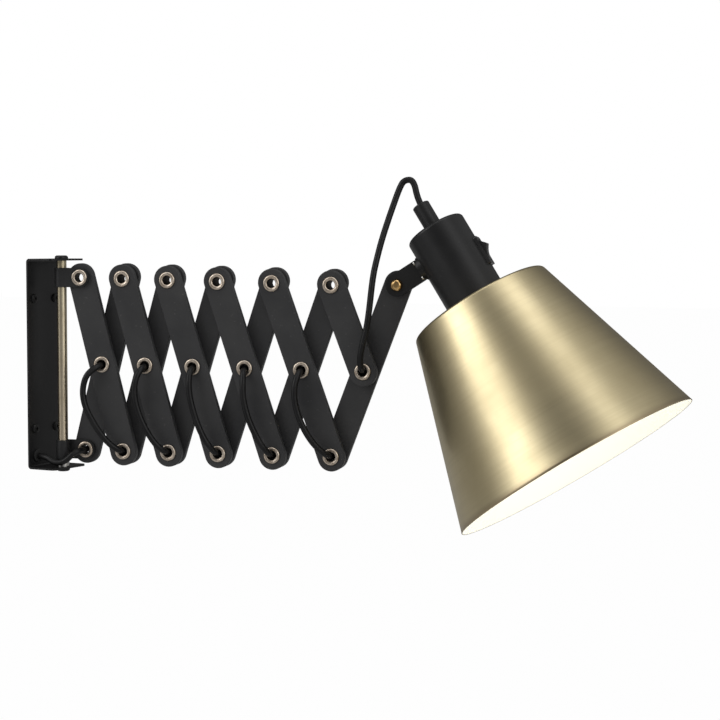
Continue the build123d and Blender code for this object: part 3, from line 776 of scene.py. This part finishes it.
def shadeProfile():
    # radius and height below the top, from the hole over the outside to the lip, then up the inside
    slope = math.atan2(shade["mouthRadius"] - shade["topRadius"], shade["height"])
    top, sheet, edge = shade["topRadius"], shade["sheet"], shade["edge"]
    turn = math.pi / 2 - slope
    wall = sheet / math.cos(slope)

    def corner(radiusAtTop, depth, bend):
        # arc between the flat top and the sloping side, its centre inside both
        back = bend * math.tan(turn / 2)
        centre = (radiusAtTop - back, depth + bend)
        angles = [turn * i / shade["edgeSteps"] for i in range(shade["edgeSteps"] + 1)]
        return [(centre[0] + bend * math.sin(a), centre[1] - bend * math.cos(a)) for a in angles]

    def sideAt(points, share, shift):
        first = points[-1]
        last = (shade["mouthRadius"] - shift, shade["height"])
        return (first[0] + (last[0] - first[0]) * share, first[1] + (last[1] - first[1]) * share)

    outerCorner = corner(top, 0.0, edge)
    innerCorner = corner(top + math.tan(slope) * sheet - wall, sheet, edge - sheet)
    evenly = [i / shade["down"] for i in range(1, shade["down"])]
    shares = [*shade["nearEdge"], *evenly, shade["nearLip"]]
    across = (shade["hole"], *shade["topRings"])
    outside = [(r, 0.0) for r in across] + outerCorner + [sideAt(outerCorner, s, 0.0) for s in shares]
    inside = [sideAt(innerCorner, s, wall) for s in reversed(shares)]
    inside += list(reversed(innerCorner)) + [(r, sheet) for r in reversed(across)]
    middle = (shade["mouthRadius"] - wall / 2, shade["height"] - wall / 2)
    angles = [math.pi * i / shade["lipSteps"] for i in range(shade["lipSteps"] + 1)]
    lip = [(middle[0] + wall / 2 * math.cos(a), middle[1] + wall / 2 * math.sin(a)) for a in angles]
    return outside, lip, inside


outside, lip, inside = shadeProfile()
profile = [(radius, -below) for radius, below in outside + lip + inside]
shadeMesh = latheMesh("brassShade", profile, shade["around"], closed=True)
shadeMesh.transform(headSpace)
shadeMesh.materials.append(finishes["shade_brass"])
shadeMesh.materials.append(ivoryLining())
liningFrom = len(outside) + len(lip) - 2
holeEdge = len(profile) - 1                     # the band round the hole stays sharp
for face in shadeMesh.polygons:
    band = face.index // shade["around"]
    face.use_smooth = band != holeEdge
    face.material_index = 1 if liningFrom <= band < holeEdge else 0
brassShade = linked("brassShade", shadeMesh)
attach(brassShade, "head")
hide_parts("shade")
print("shade:", len(shadeMesh.polygons), "faces")


def repeatTree(name, inputs, kinds, links):
    # a geometry tree: named inputs, nodes by name, and links written as node.socket
    tree = bpy.data.node_groups.new(name, "GeometryNodeTree")
    tree.interface.new_socket("Geometry", in_out="INPUT", socket_type="NodeSocketGeometry")
    for label, kind in inputs.items():
        tree.interface.new_socket(label, in_out="INPUT", socket_type="NodeSocket" + kind)
    tree.interface.new_socket("Geometry", in_out="OUTPUT", socket_type="NodeSocketGeometry")
    made = {"given": tree.nodes.new("NodeGroupInput"), "result": tree.nodes.new("NodeGroupOutput")}
    for label, kind in kinds.items():
        made[label] = tree.nodes.new("GeometryNode" + kind)
    for source, target in links:
        giver, output = source.split(".")
        taker, entry = target.split(".")
        tree.links.new(made[giver].outputs[output], made[taker].inputs[entry])
    return tree


def bakeTree(name, tree, given, space):
    # sets the tree's inputs, evaluates it once and keeps the plain mesh
    seed = linked(name + "Seed", bpy.data.meshes.new(name + "Seed"))
    modifier = seed.modifiers.new(name, "NODES")
    modifier.node_group = tree
    for item in tree.interface.items_tree:
        if item.name in given:
            modifier[item.identifier] = given[item.name]
    mesh = asMesh(seed, name)
    bpy.data.objects.remove(seed)
    mesh.transform(space)
    return linked(name, mesh)


# ribs round the ring that clamps the shade
ringRibs = {"count": 40, "radius": 0.0269, "rib": 0.0008, "sides": 10, "length": 0.0042, "drop": 0.0038}
ribTree = repeatTree(
    "ribsRoundRing",
    {"Count": "Int", "Radius": "Float", "Rib": "Float", "Sides": "Int", "Length": "Float",
     "Finish": "Material"},
    {"circle": "MeshCircle", "rib": "MeshCylinder", "instance": "InstanceOnPoints",
     "real": "RealizeInstances", "smooth": "SetShadeSmooth", "finish": "SetMaterial"},
    [
        ("given.Count", "circle.Vertices"),
        ("given.Radius", "circle.Radius"),
        ("given.Sides", "rib.Vertices"),
        ("given.Rib", "rib.Radius"),
        ("given.Length", "rib.Depth"),
        ("circle.Mesh", "instance.Points"),
        ("rib.Mesh", "instance.Instance"),
        ("instance.Instances", "real.Geometry"),
        ("real.Geometry", "smooth.Geometry"),
        ("smooth.Geometry", "finish.Geometry"),
        ("given.Finish", "finish.Material"),
        ("finish.Geometry", "result.Geometry"),
    ],
)
clampRibs = bakeTree("clampRibs", ribTree, {
    "Count": ringRibs["count"], "Radius": ringRibs["radius"], "Rib": ringRibs["rib"],
    "Sides": ringRibs["sides"], "Length": ringRibs["length"], "Finish": finishes["holder_black"],
}, headSpace @ Matrix.Translation((0, 0, -ringRibs["drop"])))
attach(clampRibs, "head")
print("clamp ribs:", len(clampRibs.data.polygons), "faces")

# four pan-head screws that hold the plate to the wall
wallScrew = {
    "rows": 2,
    "spreadY": 0.028,
    "spreadZ": 0.110,
    "plate": 0.0016,
    "headRadius": 0.0039,
    "headHeight": 0.0020,
    "crown": [(0.62, 1.0), (0.84, 0.86), (0.96, 0.55), (1.0, 0.2)],     # shares of radius and height
    "shankRadius": 0.0021,
    "socketRadius": 0.0013,
    "socketDepth": 0.0011,
    "around": 24,
}


def screwOutline():
    # radius and height above the plate, from the floor of the socket round to the foot of the shank
    r, h = wallScrew["headRadius"], wallScrew["headHeight"]
    socket, shank = wallScrew["socketRadius"], wallScrew["shankRadius"]
    socketFloor, tip = h - wallScrew["socketDepth"], -wallScrew["plate"]
    crown = [(r * across, h * high) for across, high in wallScrew["crown"]]
    bore = [(0, socketFloor), (socket, socketFloor), (socket, h)]
    return bore + crown + [(r, 0), (shank, 0), (shank, tip), (0, tip)]


screwTree = repeatTree(
    "screwsInPlate",
    {"Rows": "Int", "Spread Y": "Float", "Spread Z": "Float", "Screw": "Object", "Finish": "Material"},
    {"grid": "MeshGrid", "screw": "ObjectInfo", "instance": "InstanceOnPoints",
     "real": "RealizeInstances", "finish": "SetMaterial"},
    [
        ("given.Rows", "grid.Vertices X"),
        ("given.Rows", "grid.Vertices Y"),
        ("given.Spread Y", "grid.Size X"),
        ("given.Spread Z", "grid.Size Y"),
        ("given.Screw", "screw.Object"),
        ("grid.Mesh", "instance.Points"),
        ("screw.Geometry", "instance.Instance"),
        ("instance.Instances", "real.Geometry"),
        ("real.Geometry", "finish.Geometry"),
        ("given.Finish", "finish.Material"),
        ("finish.Geometry", "result.Geometry"),
    ],
)
oneScrew = linked("oneScrew", latheMesh("oneScrew", screwOutline(), wallScrew["around"]))
plateFace = axes(Vector((wallScrew["plate"], 0, 0)), Vector((0, 1, 0)), Vector((1, 0, 0)))
wallScrews = bakeTree("wallScrews", screwTree, {
    "Rows": wallScrew["rows"], "Spread Y": wallScrew["spreadY"], "Spread Z": wallScrew["spreadZ"],
    "Screw": oneScrew, "Finish": finishes["bracket_black"],
}, plateFace)
bpy.data.objects.remove(oneScrew)
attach(wallScrews, "bracket")
print("wall screws:", len(wallScrews.data.polygons), "faces")

# floor, world and lamps
studio = {
    "floorDrop": 0.36,
    "floorReach": 12.0,
    "floorTone": 0.60,
    "floorWhite": 0.985,        # how nearly the camera sees it pure white
    "ambient": 0.42,            # what dull surfaces get from all round
    "mirrorLevel": 0.10,        # what polished surfaces see between the soft boxes
    "boxes": [                  # degrees to the right of the camera, width and strength, in reflections
        (-70.0, 21.0, 1.08),
        (38.0, 26.0, 1.12),
        (100.0, 34.0, 0.46),
    ],
    "aim": (0.25, 0.04, 0.0),
    "lamps": [                  # name, right of the camera line, towards the camera, up, size, watts
        ("keyBox", -1.58, 0.66, 0.90, 1.3, 8.0),
        ("fillBox", 1.20, 1.00, 0.45, 1.3, 3.0),
        ("topBox", 0.10, 0.15, 1.55, 1.3, 4.5),
    ],
}
reach, drop, tone = studio["floorReach"], studio["floorDrop"], studio["floorTone"]
floorMesh = bpy.data.meshes.new("floor")
floorMesh.from_pydata(
    [(x * reach, y * reach, -drop) for x, y in ((-1, -1), (1, -1), (1, 1), (-1, 1))], [], [(0, 1, 2, 3)]
)
floor = linked("floor", floorMesh)
floorPaint = Paint(bpy.data.materials.new("floor"))
dull = floorPaint.add("ShaderNodeBsdfDiffuse", values={"Color": rgb((tone, tone, tone))})
white = floorPaint.add("ShaderNodeEmission", values={"Color": rgb((1, 1, 1)), "Strength": 1.0})
seen = floorPaint.add("ShaderNodeLightPath", output="Is Camera Ray")
shown = floorPaint.add("ShaderNodeMixShader", values={0: seen * studio["floorWhite"], 1: dull, 2: white})
floorMesh.materials.append(floorPaint.finish(shown))

scene.world = bpy.data.worlds.new("studio")
sky = Paint(scene.world)
direction = sky.add("ShaderNodeTexCoord", output="Generated")
bearing = sky.maths("ARCTAN2", sky.dot(direction, rightward), sky.dot(direction, towardCamera))
mirrored = studio["mirrorLevel"]
for centre, width, strength in studio["boxes"]:
    off = (bearing - math.radians(centre)) / math.radians(width)
    mirrored = mirrored + sky.maths("EXPONENT", off * off * -1.0) * strength
isCamera = sky.add("ShaderNodeLightPath", output="Is Camera Ray")
isGlossy = sky.add("ShaderNodeLightPath", output="Is Glossy Ray")
level = mirrored * isGlossy + (1.0 - isGlossy) * studio["ambient"]
level = isCamera + (1.0 - isCamera) * level
background = sky.add("ShaderNodeBackground", values={"Color": rgb((1, 1, 1)), "Strength": level})
sky.finish(background, "ShaderNodeOutputWorld")

aim = Vector(studio["aim"])
for name, sideStep, nearStep, rise, size, watts in studio["lamps"]:
    light = bpy.data.lights.new(name, "AREA")
    light.shape = "DISK"
    light.size = size
    light.energy = watts
    lamp = linked(name, light)
    lamp.location = aim + rightward * sideStep + towardCamera * nearStep + up * rise
    lamp.rotation_euler = (aim - lamp.location).to_track_quat("-Z", "Y").to_euler()
print("studio lit")

scene.view_settings.view_transform = "Standard"
